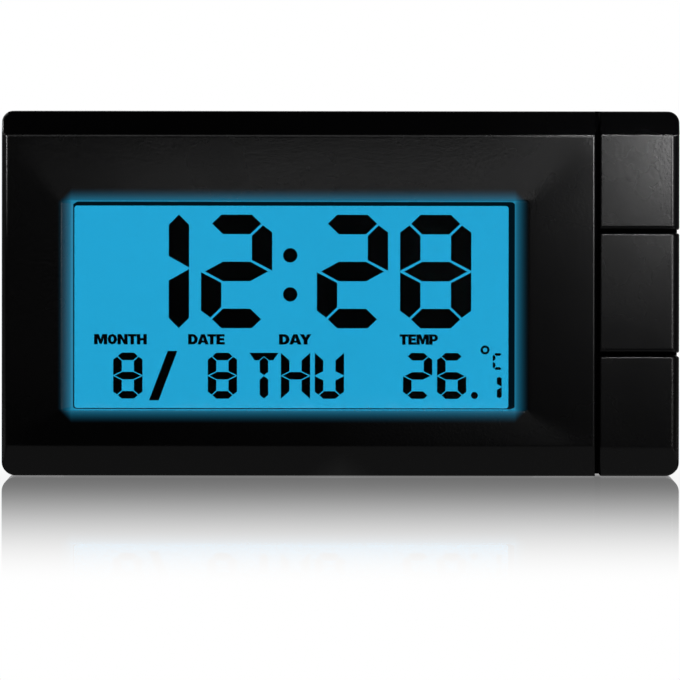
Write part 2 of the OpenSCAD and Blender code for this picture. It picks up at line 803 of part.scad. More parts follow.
// Back shell: tray, register lip, cell well, recessed panel under the door, screw tubes and vents
module rear_case() {
    lip_y = board_y + cut;
    channel_y = door_y - slip;
    channel_x = [door_x[0] - slip, door_x[1] + slip];
    color("#141416") seat() difference() {
        union() {
            difference() {
                intersection() {
                    body_form(0);
                    block([x_left, x_right], [split_y, body_d], [0, top_z]);
                }
                body_form(wall);
            }
            difference() {
                intersection() {
                    body_form(deck_inset);
                    block([x_left, x_right], [lip_y, split_y + 1.5], [0, top_z]);
                }
                body_form(deck_inset + lip_t);
                for (x = boss_x, z = boss_z) rod(x, z, [0, body_d], boss_r + 2 * slip);
            }
            difference() {
                intersection() {
                    body_form(wall - cut);
                    block([x_left, x_right], [split_y, split_y + 1.5], [0, top_z]);
                }
                body_form(deck_inset + lip_t);
                for (x = boss_x, z = boss_z) rod(x, z, [0, boss_end + slip], boss_r + 2 * slip);
            }
            intersection() {
                body_form(wall - cut);
                union() {
                    block([door_x[0] - panel_edge, door_x[1] + panel_edge],
                          [channel_y - panel_t, body_d - wall + cut], [door_z0 - panel_edge, top_z]);
                    rod(cell_x, cell_z, [tub_y, channel_y], tub_r + tub_wall);
                    for (x = boss_x, z = boss_z) rod(x, z, [boss_end + cut, body_d], tube_r);
                }
            }
        }
        block(channel_x, [channel_y, body_d + 1], [door_z0 - slip, top_z + 1]);
        block([channel_x[0] - tongue_w, channel_x[1] + tongue_w],
              [channel_y, door_y + tongue_t + slip], [door_z0 - slip, top_z + 1]);
        rod(cell_x, cell_z, [tub_y + tub_floor, body_d], tub_r);
        block([cell_x - contact_w / 2 - slip, cell_x + contact_w / 2 + slip],
              [tub_y - cut, tub_y + tub_floor + cut], [leaf_leg_z - leg_hole / 2, leaf_leg_z + leg_hole / 2]);
        block([cell_x + cell_d / 2 - cut, plus_x + leg_hole], [tub_y - cut, channel_y + cut],
              [cell_z - contact_w / 2 - slip, cell_z + contact_w / 2 + slip]);
        for (x = boss_x, z = boss_z) {
            rod(x, z, [0, body_d], screw_r + slip);
            rod(x, z, [head_y, body_d + 1], screw_head_r + slip);
        }
        for (i = [0:vent_n - 1])
            translate([switch_x + (i - (vent_n - 1) / 2) * vent_pitch, 0, mid_z])
                block([-vent_w / 2, vent_w / 2], [body_d - 2 * wall, body_d + 1], [-vent_l / 2, vent_l / 2]);
        pad_pocket_cut();
    }
}

// Door flush with the back, on two tongues that slide up and out
module battery_door() {
    color("#141416") seat() difference() {
        intersection() {
            body_form(0);
            union() {
                block(door_x, [door_y, body_d + 1], [door_z0, top_z + 1]);
                block([door_x[0] - tongue_w, door_x[1] + tongue_w], [door_y, door_y + tongue_t],
                      [door_z0, top_z + 1]);
            }
        }
        for (i = [0:grip_n - 1])
            block([cell_x - door_w / 4, cell_x + door_w / 4], [body_d - grip_deep, body_d + 1],
                  [door_z0 + 3 + i * grip_pitch, door_z0 + 3 + i * grip_pitch + grip_w]);
    }
}

module mounting_pad() {
    color("#303034") seat() linear_extrude(pad_t)
        round_rect([pad_x - pad_l / 2, pad_x + pad_l / 2], [pad_y - pad_w / 2, pad_y + pad_w / 2], pad_r);
}

// Bars of a digit w wide and h high as outlines; t is the stroke of the level bars and q of the upright ones,
// s is half the gap between bars
function flip_u(p, w) = [for (q = p) [w - q[0], q[1]]];
function flip_v(p, h) = [for (q = p) [q[0], h - q[1]]];
function bar_top(w, h, t, q, s) =
    [[q / 2 + s, h - t / 2 + s], [q, h], [w - q, h], [w - q / 2 - s, h - t / 2 + s],
     [w - q - 2 * s, h - t], [q + 2 * s, h - t]];
function bar_side(w, h, t, q, s) =
    [[q / 2 - s, h - t / 2 - s], [q, h - t - 2 * s], [q, h / 2 + t / 2 + 2 * s], [0, h / 2 + s], [0, h - 0.9 * t]];
function bar_spike(w, h, t, q, s) = [[0, h], [q, h - t], [q, h / 2 + t / 2 + 2 * s], [0, h / 2 + s]];
function bar_mid(w, h, t, q, s) =
    [[5 * s, h / 2], [q + 2 * s, h / 2 + t / 2], [w - q - 2 * s, h / 2 + t / 2], [w - 5 * s, h / 2],
     [w - q - 2 * s, h / 2 - t / 2], [q + 2 * s, h / 2 - t / 2]];
function bar(name, w, h, t, q, s) =
    name == "a" ? bar_top(w, h, t, q, s) :
    name == "b" ? flip_u(bar_side(w, h, t, q, s), w) :
    name == "c" ? flip_u(flip_v(bar_side(w, h, t, q, s), h), w) :
    name == "d" ? flip_v(bar_top(w, h, t, q, s), h) :
    name == "e" ? flip_v(bar_side(w, h, t, q, s), h) :
    name == "f" ? bar_side(w, h, t, q, s) :
    name == "g" ? bar_mid(w, h, t, q, s) :
    name == "B" ? flip_u(bar_spike(w, h, t, q, s), w) :
    name == "C" ? flip_u(flip_v(bar_spike(w, h, t, q, s), h), w) :
    name == "E" ? flip_v(bar_spike(w, h, t, q, s), h) :
    bar_spike(w, h, t, q, s);

module glyph(bars, w, h, t, q, s, at) {
    translate(at) for (name = bars) polygon(bar(name, w, h, t, q, s));
}

// A single upright stroke in two halves, its ends pointed by p of its width
module one(w, h, p, s, at) {
    mid = 0.527 * h;
    half = w / 2;
    tip = p * w;
    slant = 0.56 * w;
    translate(at) {
        polygon([[half, h], [w, h - tip], [w, mid + s], [0, mid + slant + s], [0, h - tip]]);
        polygon([[half, 0], [w, tip], [w, mid - s], [0, mid - slant - s], [0, tip]]);
    }
}

// Letter with a notched cross bar and a central stem in two halves
module letter_tee(w, h, t, q, s, at) {
    half = w / 2;
    thin = t / 2;
    stem = q / 2;
    slant = 0.7 * t;
    translate(at) {
        polygon([[0, h], [w, h], [w - slant, h - t], [half + stem + 2 * s, h - t], [half, h - thin + s],
                 [half - stem - 2 * s, h - t], [slant, h - t]]);
        polygon([[half, h - thin - s], [half + stem, h - t - s], [half + stem, h / 2 + thin],
                 [half, h / 2 + s], [half - stem, h / 2 + thin], [half - stem, h - t - s]]);
        polygon([[half, h / 2 - s], [half + stem, h / 2 - thin], [half + stem, thin], [half, 0],
                 [half - stem, thin], [half - stem, h / 2 - thin]]);
    }
}

module time_digit(bars, u) {
    glyph(bars, digit_w, digit_h, digit_stroke, digit_side, digit_gap, [u, time_v]);
}

module small_digit(bars, u) {
    glyph(bars, small_w, small_h, small_stroke, small_side, small_gap, [u, date_v]);
}

// The dark marks that the display shows: a time, a date, a weekday and a temperature
module lcd_segments() {
    color("black") seat() translate([lit_x[0], 0, lit_z[0]]) plate([segment_y, segment_y + segment_t]) {
        one(digit_side, digit_h, 0.5, digit_gap, [hour_one_u, time_v]);
        time_digit("abged", hour_u);
        for (v = [colon_low_v, colon_high_v]) translate([colon_u, v]) circle(colon_r);
        time_digit("abged", minute_tens_u);
        time_digit("abcdefg", minute_units_u);
        small_digit("abcdefg", month_u);
        translate([slash_u, date_v - slash_over])
            polygon([[0, 0], [slash_w, 0], [slash_w + slash_lean, slash_h], [slash_lean, slash_h]]);
        small_digit("abcdefg", day_u);
        letter_tee(small_w, small_h, small_stroke, small_side, small_gap, [weekday_first_u, date_v]);
        small_digit("BCEFg", weekday_second_u);
        small_digit("BcdeF", weekday_third_u);
        small_digit("abged", degree_tens_u);
        small_digit("acdefg", degree_units_u);
        translate([point_u, date_v + point_r]) circle(point_r);
        one(tenth_w, tenth_h, 0.25, tiny_gap, [tenth_u, tenth_v]);
        glyph("adef", unit_w, unit_h, unit_stroke, unit_stroke, tiny_gap, [unit_u, unit_v]);
        translate([ring_u, ring_v]) difference() {
            circle(ring_r);
            circle(ring_hole_r);
        }
    }
}

front_bezel();
rear_case();
battery_door();
button(0);  // button_top
button(1);  // button_middle
button(2);  // button_bottom
plunger(0);  // plunger_top
plunger(1);  // plunger_middle
plunger(2);  // plunger_bottom
switch_housing(0);  // switch_top
switch_housing(1);  // switch_middle
switch_housing(2);  // switch_bottom
switch_frames();
display_lens();
dust_gasket();
front_polariser();
front_glass();
lcd_segments();
rear_glass();
rear_polariser();
diffuser_sheet();
light_guide();
reflector_sheet();
backlight_leds();
display_frame();
zebra_strip();
circuit_board();
chip_blob();
quartz_crystal();
chip_parts();
temperature_sensor();
coin_cell();
positive_contact();
negative_contact();
board_screws();
case_screws();
mounting_pad();
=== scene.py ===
import math

import bmesh
import bpy
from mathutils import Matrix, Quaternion, Vector
from mathutils.bvhtree import BVHTree


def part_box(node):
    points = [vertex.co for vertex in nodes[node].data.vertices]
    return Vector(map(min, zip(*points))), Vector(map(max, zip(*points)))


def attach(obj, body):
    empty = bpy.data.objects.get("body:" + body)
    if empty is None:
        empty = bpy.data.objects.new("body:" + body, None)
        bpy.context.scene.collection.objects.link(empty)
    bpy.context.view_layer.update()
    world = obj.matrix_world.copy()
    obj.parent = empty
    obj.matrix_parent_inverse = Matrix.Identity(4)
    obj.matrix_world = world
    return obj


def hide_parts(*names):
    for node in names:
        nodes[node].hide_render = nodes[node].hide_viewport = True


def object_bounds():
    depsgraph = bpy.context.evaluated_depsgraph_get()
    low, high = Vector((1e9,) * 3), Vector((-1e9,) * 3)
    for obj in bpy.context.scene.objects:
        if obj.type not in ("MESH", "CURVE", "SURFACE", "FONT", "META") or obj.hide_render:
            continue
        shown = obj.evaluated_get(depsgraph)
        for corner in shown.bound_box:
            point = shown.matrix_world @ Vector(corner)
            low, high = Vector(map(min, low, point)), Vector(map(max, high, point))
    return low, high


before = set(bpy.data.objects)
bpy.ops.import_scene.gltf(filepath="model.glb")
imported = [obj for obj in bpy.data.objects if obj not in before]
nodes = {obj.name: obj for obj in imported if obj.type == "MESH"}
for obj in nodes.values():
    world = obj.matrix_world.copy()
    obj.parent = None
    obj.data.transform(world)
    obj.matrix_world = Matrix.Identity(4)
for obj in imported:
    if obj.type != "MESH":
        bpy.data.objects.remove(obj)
cadLow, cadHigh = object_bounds()
scene = bpy.context.scene
mm = 0.001
tiny = 1e-6  # points nearer than this are one point
close = 20 * tiny  # a point this near a plane lies on it
flat = 0.999  # cosine past which a face is square to an axis
lean = 0.3  # cosine past which an edge leans towards an axis
oneFlat = math.radians(1)  # faces that meet flatter than this become one
noiseLow, noiseHigh = 0.3, 0.7  # where most of a noise lies
pitDepth = 0.25  # of the width of a grain
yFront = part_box("front_bezel")[0].y  # the flat plane of the face
print("frame loaded:", len(nodes), "CAD nodes")


def hexColour(text):  # sRGB hex to linear
    parts = [int(text[i:i + 2], 16) / 255 for i in (1, 3, 5)]
    return [c / 12.92 if c <= 0.04045 else ((c + 0.055) / 1.055) ** 2.4 for c in parts] + [1.0]


def addNode(tree, kind, settings=None, links=None):
    node = tree.nodes.new(kind)
    for key, value in (settings or {}).items():
        if isinstance(key, int) or key in node.inputs:
            node.inputs[key].default_value = value
        else:
            setattr(node, key, value)
    for key, source in (links or {}).items():
        tree.links.new(source, node.inputs[key])
    return node


# every finish starts here: two close shades in patches, a roughness that wanders, a fine relief;
# stretch squeezes the patches along an axis into grain or stripes
def makeFinish(name, look):
    material = bpy.data.materials.new(name)
    material.use_nodes = True
    tree = material.node_tree
    shader = tree.nodes["Principled BSDF"]
    coords = addNode(tree, "ShaderNodeTexCoord")
    field = addNode(tree, "ShaderNodeMapping", {"Scale": look.get("stretch", (1, 1, 1))},
                    {"Vector": coords.outputs["Object"]})
    patches = addNode(tree, "ShaderNodeTexNoise", {"Scale": 1 / (look["patchMm"] * mm), "Detail": 3.0},
                      {"Vector": field.outputs["Vector"]})
    tint = addNode(tree, "ShaderNodeMix", {"data_type": "RGBA"}, {0: patches.outputs["Fac"]})
    # sockets 6 and 7 of a colour mix are its two colours
    tint.inputs[6].default_value = hexColour(look["colours"][0])
    tint.inputs[7].default_value = hexColour(look["colours"][1])
    tree.links.new(tint.outputs[2], shader.inputs["Base Color"])
    gloss = addNode(tree, "ShaderNodeMapRange", {"From Min": noiseLow, "From Max": noiseHigh,
                                                 "To Min": look["rough"][0], "To Max": look["rough"][1]},
                    {"Value": patches.outputs["Fac"]})
    tree.links.new(gloss.outputs["Result"], shader.inputs["Roughness"])
    grain = addNode(tree, "ShaderNodeTexNoise", {"Scale": 1 / (look["grainMm"] * mm), "Detail": 2.0},
                    {"Vector": field.outputs["Vector"]})
    relief = addNode(tree, "ShaderNodeBump", {"Strength": look.get("relief", 0.3),
                                              "Distance": look["grainMm"] * mm * pitDepth},
                     {"Height": grain.outputs["Fac"]})
    tree.links.new(relief.outputs["Normal"], shader.inputs["Normal"])
    for socket, value in look.get("sockets", {}).items():
        shader.inputs[socket].default_value = value
    return material


def openEdit(piece):
    bpy.ops.object.select_all(action="DESELECT")
    bpy.context.view_layer.objects.active = piece
    piece.select_set(True)
    bpy.ops.object.mode_set(mode="EDIT")


def closeEdit():
    bpy.ops.object.mode_set(mode="OBJECT")


# a CAD node's triangles merged into clean flat faces, as a mesh of its own
def copyNode(nodeName, pieceName):
    piece = bpy.data.objects.new(pieceName, nodes[nodeName].data.copy())
    scene.collection.objects.link(piece)
    piece.data.materials.clear()
    openEdit(piece)
    bpy.ops.mesh.select_all(action="SELECT")
    bpy.ops.mesh.remove_doubles(threshold=tiny)
    bpy.ops.mesh.dissolve_limited(angle_limit=oneFlat)
    closeEdit()
    return piece


# with the piece in edit mode, selects just the faces or edges that pass the test
def pick(piece, kind, test):
    bpy.ops.mesh.select_mode(type=kind)
    bpy.ops.mesh.select_all(action="DESELECT")
    grid = bmesh.from_edit_mesh(piece.data)
    grid.normal_update()
    found = 0
    for item in (grid.faces if kind == "FACE" else grid.edges):
        if test(item):
            item.select_set(True)
            found += 1
    bmesh.update_edit_mesh(piece.data)
    return found


# convex edges that see open space straight out, so nothing inside a shell is touched
def pickOuterEdges(piece, degrees, keep):
    grid = bmesh.from_edit_mesh(piece.data)
    grid.normal_update()
    tree = BVHTree.FromBMesh(grid)

    def isOuter(edge):
        if len(edge.link_faces) != 2 or not edge.is_convex:
            return False
        if edge.calc_face_angle() < math.radians(degrees):
            return False
        mid = (edge.verts[0].co + edge.verts[1].co) / 2
        out = (edge.link_faces[0].normal + edge.link_faces[1].normal).normalized()
        start = mid + out * tiny * 10  # just off the edge
        return keep(mid, out) and tree.ray_cast(start, out)[0] is None
    return pick(piece, "EDGE", isOuter)


def roundPicked(width, segments):
    bpy.ops.mesh.bevel(offset=width, offset_type="OFFSET", segments=segments, profile=0.5,
                       affect="EDGES", clamp_overlap=False)


# cuts the faces that pass the test along planes square to an axis
def cutFaces(piece, test, axis, lines):
    for line in lines:
        point, normal = Vector(), Vector()
        point[axis], normal[axis] = line, 1
        pick(piece, "FACE", test)
        bpy.ops.mesh.bisect(plane_co=point, plane_no=normal, threshold=tiny)


# smooth shading that keeps the flats flat
def smoothPiece(piece, angle=38):
    bpy.ops.object.select_all(action="DESELECT")
    bpy.context.view_layer.objects.active = piece
    piece.select_set(True)
    bpy.ops.object.shade_smooth_by_angle(angle=math.radians(angle))
    bpy.ops.object.modifier_add(type="WEIGHTED_NORMAL")
    piece.modifiers[-1].keep_sharp = True
    bpy.ops.object.modifier_apply(modifier=piece.modifiers[-1].name)


def settle(piece, body, slotName, material, *replaced):
    piece.data.materials.append(material)
    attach(piece, body)
    if replaced:
        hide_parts(*replaced)


# black ABS moulded in a spark-etched tool: deep black and satin, with a pebble of 0.3 mm
# that breaks up highlights
shellLook = {"colours": ("#030304", "#050506"), "patchMm": 9, "rough": (0.255, 0.285), "grainMm": 0.3,
             "relief": 0.2, "sockets": {"IOR": 1.53}}
# the spill of the backlight on the moulding round the window, painted on as a blue glow
paintedGlowLook = {"colour": "#38c8ff", "strength": 0.26, "reach": 1.6, "rim": 0.09, "rimReach": 0.1,
            "low": (-29.8, 7.47), "high": (19.31, 30.43)}
# the same ABS on the keys, its pebble worn a little lower by fingers
keyLook = {"colours": ("#030304", "#050506"), "patchMm": 6, "rough": (0.255, 0.285), "grainMm": 0.3,
           "relief": 0.15, "sockets": {"IOR": 1.53}}
shellAbs = makeFinish("mouldedBlackAbs", shellLook)
bezelAbs = makeFinish("mouldedBlackAbsLitEdge", shellLook)
keyAbs = makeFinish("keyBlackAbs", keyLook)

# the moulding's own emission paints the backlight's glow round the window, with a thin brighter rim at its
# edge
bezelTree = bezelAbs.node_tree
bezelShader = bezelTree.nodes["Principled BSDF"]
bezelShader.inputs["Emission Color"].default_value = hexColour(paintedGlowLook["colour"])
coords = addNode(bezelTree, "ShaderNodeTexCoord")
axes = addNode(bezelTree, "ShaderNodeSeparateXYZ", None, {0: coords.outputs["Object"]})
outside = []
for index, axis in enumerate(("X", "Z")):
    low = paintedGlowLook["low"][index] * mm
    high = paintedGlowLook["high"][index] * mm
    fromMiddle = addNode(bezelTree, "ShaderNodeMath", {"operation": "SUBTRACT", 1: (low + high) / 2},
                         {0: axes.outputs[axis]})
    size = addNode(bezelTree, "ShaderNodeMath", {"operation": "ABSOLUTE"}, {0: fromMiddle.outputs[0]})
    past = addNode(bezelTree, "ShaderNodeMath", {"operation": "SUBTRACT", 1: (high - low) / 2},
                   {0: size.outputs[0]})
    outside.append(addNode(bezelTree, "ShaderNodeMath", {"operation": "MAXIMUM", 1: 0.0},
                           {0: past.outputs[0]}))
gap = addNode(bezelTree, "ShaderNodeMath", {"operation": "ADD"},
              {0: outside[0].outputs[0], 1: outside[1].outputs[0]})
near = addNode(bezelTree, "ShaderNodeMapRange", {"From Max": paintedGlowLook["reach"] * mm, "To Min": 1.0,
                                                 "To Max": 0.0}, {"Value": gap.outputs[0]})
halo = addNode(bezelTree, "ShaderNodeMath", {"operation": "POWER", 1: 2.0}, {0: near.outputs[0]})
fall = addNode(bezelTree, "ShaderNodeMath",
               {"operation": "MULTIPLY", 1: -1 / (paintedGlowLook["rimReach"] * mm)}, {0: gap.outputs[0]})
rim = addNode(bezelTree, "ShaderNodeMath", {"operation": "EXPONENT"}, {0: fall.outputs[0]})
rimShare = addNode(bezelTree, "ShaderNodeMath", {"operation": "MULTIPLY", 1: paintedGlowLook["rim"]},
                   {0: rim.outputs[0]})
spill = addNode(bezelTree, "ShaderNodeMath", {"operation": "MULTIPLY_ADD", 1: paintedGlowLook["strength"]},
                {0: halo.outputs[0], 2: rimShare.outputs[0]})
bezelTree.links.new(spill.outputs[0], bezelShader.inputs["Emission Strength"])
# in the gaps beside and behind the keys and along the seam the mouldings are made dull and almost without
# shine, a painted shade;
# each row: the depths behind its front where that starts and is full, and its reach along x
dullAndShadedLook = {"rough": 0.9, "shine": (0.5, 0.02), "bezel": (0.5, 1.0, 28.15, 60),
            "keys": (0.5, 1.0, 20, 28.85), "rim": (0.5, 0.2, -60, 60)}
for material, front, (start, stop, low, high) in ((bezelAbs, yFront, dullAndShadedLook["bezel"]),
                                                  (keyAbs, yFront, dullAndShadedLook["keys"]),
                                                  (shellAbs, 0, dullAndShadedLook["rim"])):
    tree = material.node_tree
    shader = tree.nodes["Principled BSDF"]
    outerGloss = shader.inputs["Roughness"].links[0].from_socket
    coords = addNode(tree, "ShaderNodeTexCoord")
    axes = addNode(tree, "ShaderNodeSeparateXYZ", None, {0: coords.outputs["Object"]})
    depth = addNode(tree, "ShaderNodeMapRange", {"From Min": front + start * mm,
                                                 "From Max": front + stop * mm},
                    {"Value": axes.outputs["Y"]})
    above = addNode(tree, "ShaderNodeMath", {"operation": "GREATER_THAN", 1: low * mm},
                    {0: axes.outputs["X"]})
    below = addNode(tree, "ShaderNodeMath", {"operation": "LESS_THAN", 1: high * mm},
                    {0: axes.outputs["X"]})
    strip = addNode(tree, "ShaderNodeMath", {"operation": "MULTIPLY"},
                    {0: above.outputs[0], 1: below.outputs[0]})
    dullAndShaded = addNode(tree, "ShaderNodeMath", {"operation": "MULTIPLY"},
                       {0: depth.outputs[0], 1: strip.outputs[0]})
    gloss = addNode(tree, "ShaderNodeMix", {"data_type": "FLOAT", "B": dullAndShadedLook["rough"]},
                    {0: dullAndShaded.outputs[0], 2: outerGloss})
    tree.links.new(gloss.outputs[0], shader.inputs["Roughness"])
    # a specular level near nothing paints shade into the gaps
    shine = addNode(tree, "ShaderNodeMapRange", {"To Min": dullAndShadedLook["shine"][0],
                                                 "To Max": dullAndShadedLook["shine"][1]},
                    {"Value": dullAndShaded.outputs[0]})
    tree.links.new(shine.outputs[0], shader.inputs["Specular IOR Level"])
print("shell finishes made")


# the fine groove where the two shells meet, all round the case
seamShape = {"y": 0.025, "round": 0.15, "segments": 2, "edgeAngle": 25}
caseMiddle = (cadLow + cadHigh) / 2


def onSeam(mid, out):
    reach = mid - caseMiddle
    return abs(mid.y - seamShape["y"] * mm) < close and out.x * reach.x + out.z * reach.z > 0


# the front moulding: the CAD shell with a softly rolled dish and rounded edges;
# lengths in mm, angles in degrees, facing and tilt are cosines
bezelShape = {"round": 0.2, "segments": 3, "edgeAngle": 16, "browRound": 0.45, "browSegments": 6,
              "browAngle": 25, "windowRound": 0.16, "windowSegments": 3, "sightRound": 0.3,
              "sightSegments": 4, "mitre": 6, "lead": 0.75, "lip": 0.08, "bandCells": 8, "spanCells": 6,
              "window": (-30.9, 20.85, 7.32, 30.58), "edge": (-37.0, 28.2, 3.28, 37.82), "dish": 0.5,
              "dishFacing": 0.98, "reveal": 1.6, "cornerRun": (0.1, 0.5, 0.05), "margin": 1, "slack": 0.1,
              "tilt": 0.4, "backY": -1, "pocketY": -5, "pocketZ": 0.4}
bezel = copyNode("front_bezel", "bezel_moulding")
winL, winR, winB, winT = [v * mm for v in bezelShape["window"]]
edgeL, edgeR, edgeB, edgeT = [v * mm for v in bezelShape["edge"]]
rounding = bezelShape["round"] * mm
dish = bezelShape["dish"] * mm
facing = bezelShape["dishFacing"]
margin = bezelShape["margin"] * mm
slack = bezelShape["slack"] * mm
openEdit(bezel)
# the dish comes off, its outer rim is closed flat and the outside edges are rounded
deepest = yFront + dish + slack / 2
pick(bezel, "FACE", lambda f: f.normal.y < -facing and f.calc_center_median().y < deepest)
bpy.ops.mesh.delete(type="FACE")
pick(bezel, "EDGE", lambda e: e.is_boundary and all(v.co.y > yFront + dish / 2 for v in e.verts))
bpy.ops.transform.translate(value=(0, -dish, 0))
pick(bezel, "EDGE", lambda e: e.is_boundary and any(
    abs(v.co.x - edgeL) < close or abs(v.co.x - edgeR) < close for v in e.verts))
bpy.ops.mesh.edge_face_add()
if pick(bezel, "FACE", lambda f: f.normal.y > facing and abs(f.calc_center_median().y - yFront) < tiny):
    bpy.ops.mesh.flip_normals()


def isFrontEdge(mid, out):
    inWindow = winL - margin < mid.x < winR + margin and winB - margin < mid.z < winT + margin
    inPocket = mid.z < bezelShape["pocketZ"] * mm and mid.y > bezelShape["pocketY"] * mm
    inReach = mid.x < edgeR + slack and mid.y < bezelShape["backY"] * mm
    return out.y < bezelShape["tilt"] and inReach and not inWindow and not inPocket


pickOuterEdges(bezel, bezelShape["browAngle"], lambda mid, out: (
    out.x < -lean and out.y < -lean and mid.z > edgeT + slack))
roundPicked(bezelShape["browRound"] * mm, bezelShape["browSegments"])
pickOuterEdges(bezel, bezelShape["edgeAngle"], isFrontEdge)
roundPicked(rounding, bezelShape["segments"])
pickOuterEdges(bezel, seamShape["edgeAngle"], lambda mid, out: (
    out.y > lean and mid.x < edgeR and onSeam(mid, out)))
roundPicked(seamShape["round"] * mm, seamShape["segments"])


def inOpening(point):
    return winL - tiny < point.x < winR + tiny and winB - tiny < point.z < winT + tiny


def onFace(face):
    middle = face.calc_center_median()
    return face.normal.y < -flat and abs(middle.y - yFront) < tiny and middle.x < edgeR


def onReveal(face):
    middle = face.calc_center_median()
    return inOpening(middle) and yFront + tiny < middle.y < yFront + bezelShape["reveal"] * mm


# face and reveal are cut by one set of lines, so that they join along the window
def cutLines(low, inLow, inHigh, high):
    band, span, lip = bezelShape["bandCells"], bezelShape["spanCells"], bezelShape["lip"] * mm
    steps = [low + lip] + [low + (inLow - low) * i / band for i in range(1, band + 1)]
    steps += [inLow + (inHigh - inLow) * i / span for i in range(1, span)]
    return steps + [inHigh + (high - inHigh) * i / band for i in range(band)] + [high - lip]


for axis, lines in ((0, cutLines(edgeL + rounding, winL, winR, edgeR - rounding)),
                    (2, cutLines(edgeB + rounding, winB, winT, edgeT - rounding))):
    cutFaces(bezel, lambda f: onFace(f) or onReveal(f), axis, lines)
pick(bezel, "FACE", lambda f: onFace(f) and winL < f.calc_center_median().x < winR
     and winB < f.calc_center_median().z < winT)
bpy.ops.mesh.delete(type="FACE")
bpy.ops.mesh.select_all(action="SELECT")
bpy.ops.mesh.remove_doubles(threshold=tiny)
# the face rolls back towards the window, round its corners too
bezelGrid = bmesh.from_edit_mesh(bezel.data)
lead, mitre = bezelShape["lead"], bezelShape["mitre"]
for vert in bezelGrid.verts:
    x, y, z = vert.co
    if abs(y - yFront) < tiny and edgeL < x < edgeR and edgeB < z < edgeT:
        across = max((winL - x) / (winL - edgeL - rounding), (x - winR) / (edgeR - rounding - winR), 0)
        up = max((winB - z) / (winB - edgeB - rounding), (z - winT) / (edgeT - rounding - winT), 0)
        across, up = [1 - lead * d - (1 - lead) * d * d for d in (max(0, 1 - across), max(0, 1 - up))]
        out = (across ** mitre + up ** mitre) ** (1 / mitre)
        vert.co.y = yFront + dish * max(0, 1 - out)
bmesh.update_edit_mesh(bezel.data)


# a slanting edge of the reveal, from a corner of the window inwards
def isRevealCorner(edge):
    first, last = [v.co for v in edge.verts]
    runs = zip(first, last, bezelShape["cornerRun"])
    longEnough = all(abs(b - a) > least * mm for a, b, least in runs)
    inReveal = max(first.y, last.y) < yFront + bezelShape["reveal"] * mm + slack
    return longEnough and inReveal and inOpening((first + last) / 2)


pick(bezel, "EDGE", isRevealCorner)
roundPicked(bezelShape["sightRound"] * mm, bezelShape["sightSegments"])
# then the edge of the window
pick(bezel, "EDGE", lambda e: all(
    abs(v.co.y - yFront - dish) < close and inOpening(v.co) for v in e.verts))
roundPicked(bezelShape["windowRound"] * mm, bezelShape["windowSegments"])
closeEdit()
smoothPiece(bezel)
settle(bezel, "case", "satin_black_abs", bezelAbs, "front_bezel")
print("bezel moulding made:", len(bezel.data.polygons), "faces")

# three keys with soft edges, so that each catches its own line of light
keyShape = {"round": 0.2, "lowRound": 0.5, "rightRound": 0.45, "segments": 4, "edgeAngle": 14,
            "lowAngle": 40, "backY": -1.2, "tilt": 0.5, "level": 0.1}


def isRightEdge(mid, out):
    return out.y < -keyShape["tilt"] and out.x > lean and abs(out.z) < keyShape["level"]


def isLowEdge(mid, out):
    return out.y < -keyShape["tilt"] and out.z < -keyShape["tilt"]


def isKeyEdge(mid, out):
    return out.y < keyShape["tilt"] and mid.y < keyShape["backY"] * mm and not isLowEdge(mid, out)


for place in ("top", "middle", "bottom"):
    key = copyNode("button_" + place, "key_" + place)
    openEdit(key)
    pickOuterEdges(key, keyShape["edgeAngle"], isRightEdge)
    roundPicked(keyShape["rightRound"] * mm, keyShape["segments"] * 2)
    pickOuterEdges(key, keyShape["edgeAngle"], isKeyEdge)
    roundPicked(keyShape["round"] * mm, keyShape["segments"])
    pickOuterEdges(key, keyShape["lowAngle"], isLowEdge)
    roundPicked(keyShape["lowRound"] * mm, keyShape["segments"])
    closeEdit()
    smoothPiece(key)
    settle(key, place + "_button", "button_black_abs", keyAbs, "button_" + place)
print("keys made")

# the rear shell and the battery door, edges broken as a mould leaves them except at the vents
rearShape = {"round": 0.2, "segments": 2, "edgeAngle": 25, "frontY": 1, "vents": (25, 12, 28)}
ventX, ventLow, ventHigh = [v * mm for v in rearShape["vents"]]


def isRearEdge(mid, out):
    atVents = mid.x > ventX and ventLow < mid.z < ventHigh
    return out.y > -lean and mid.y > rearShape["frontY"] * mm and not atVents


def isRearSeam(mid, out):
    return out.y < -lean and onSeam(mid, out)


for nodeName, pieceName, body in (("rear_case", "rear_shell", "case"),
                                  ("battery_door", "cell_door", "door")):
    shell = copyNode(nodeName, pieceName)
    openEdit(shell)
    pickOuterEdges(shell, rearShape["edgeAngle"], isRearEdge)
    roundPicked(rearShape["round"] * mm, rearShape["segments"])
    if pickOuterEdges(shell, seamShape["edgeAngle"], isRearSeam):
        roundPicked(seamShape["round"] * mm, seamShape["segments"])
    closeEdit()
    smoothPiece(shell)
    settle(shell, body, "satin_black_abs", shellAbs, nodeName)
print("rear shell and door made")

